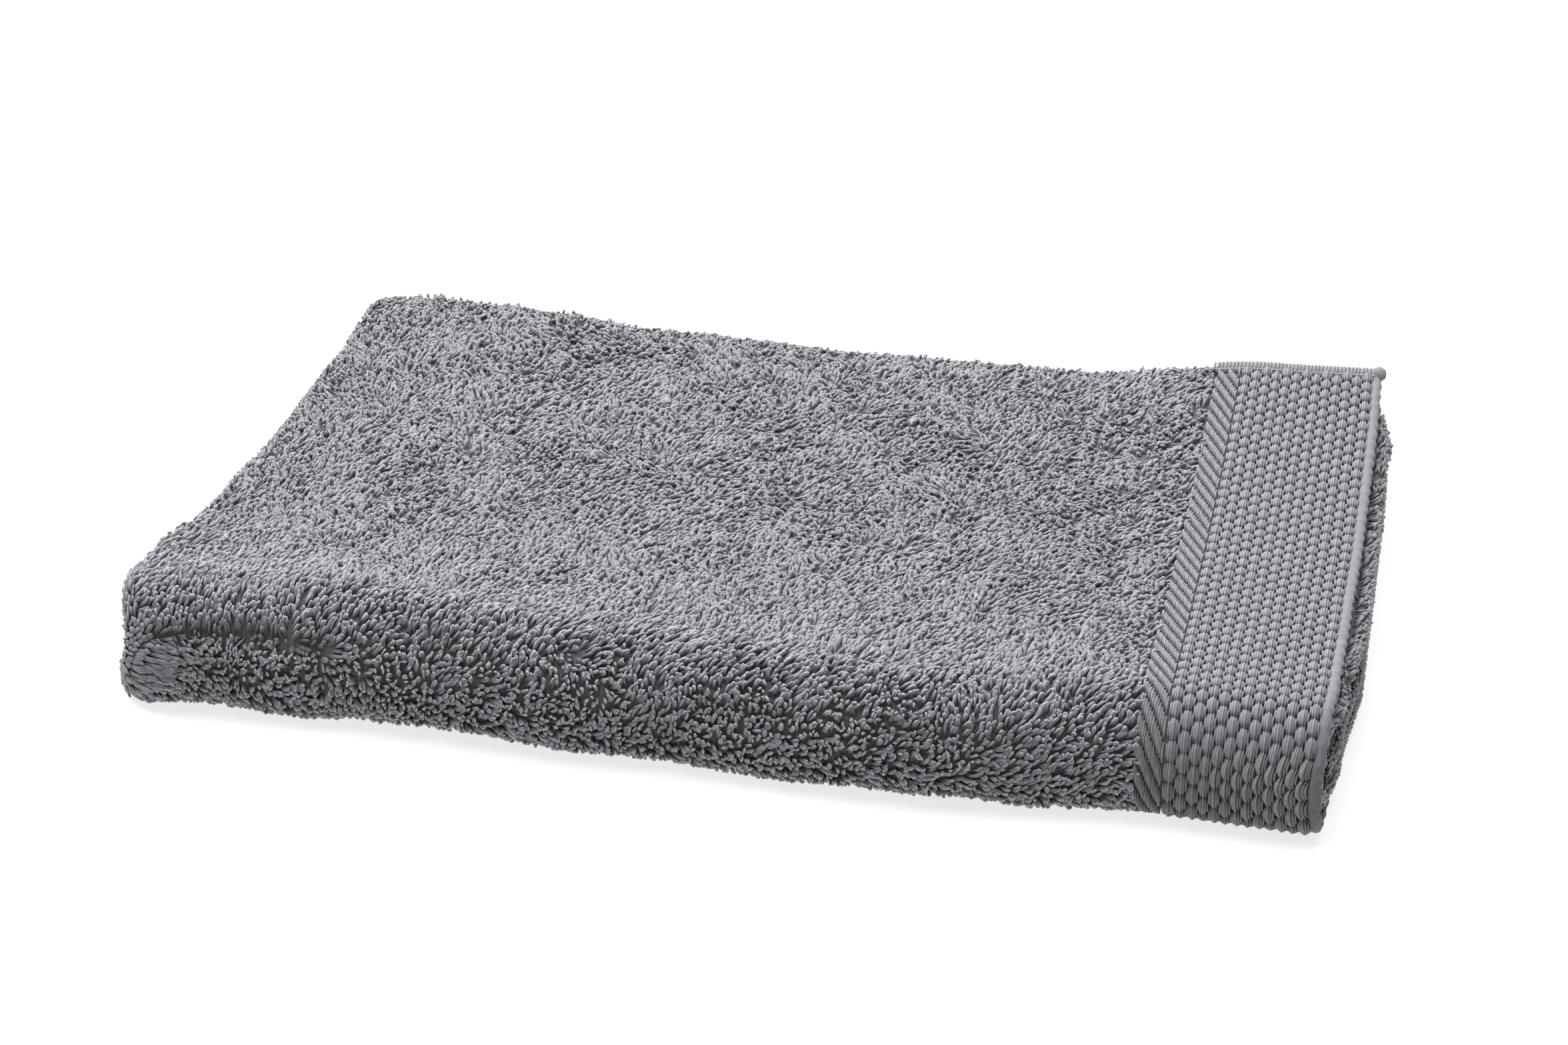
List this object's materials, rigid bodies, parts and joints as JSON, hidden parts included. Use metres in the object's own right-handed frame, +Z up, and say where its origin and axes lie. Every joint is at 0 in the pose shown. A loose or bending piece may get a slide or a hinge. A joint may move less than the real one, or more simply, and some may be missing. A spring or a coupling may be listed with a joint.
{
  "type": "folded bath sheet",
  "caption": "Thick terry bath sheet folded into a flat rectangular stack, with a big round fold in front and a woven honeycomb border and end hem along its right end.",
  "frame": {"origin": "centre of the stack's box, on the flat underside that rests on the surface", "axes": "+X along the folded length towards the woven border, -Y towards the big round fold, +Z up through the layers"},
  "size_m": [0.5034, 0.3434, 0.0582],
  "materials": {
    "terry": "matt cotton terry with long twisted loops on both faces, mid grey with a slight violet cast",
    "border": "matt cotton weave without pile: ribbed band, honeycomb panel, turned end hem and side hem in the same grey"
  },
  "bodies": {
    "root": {"towel": "terry"}
  },
  "joints": []
}
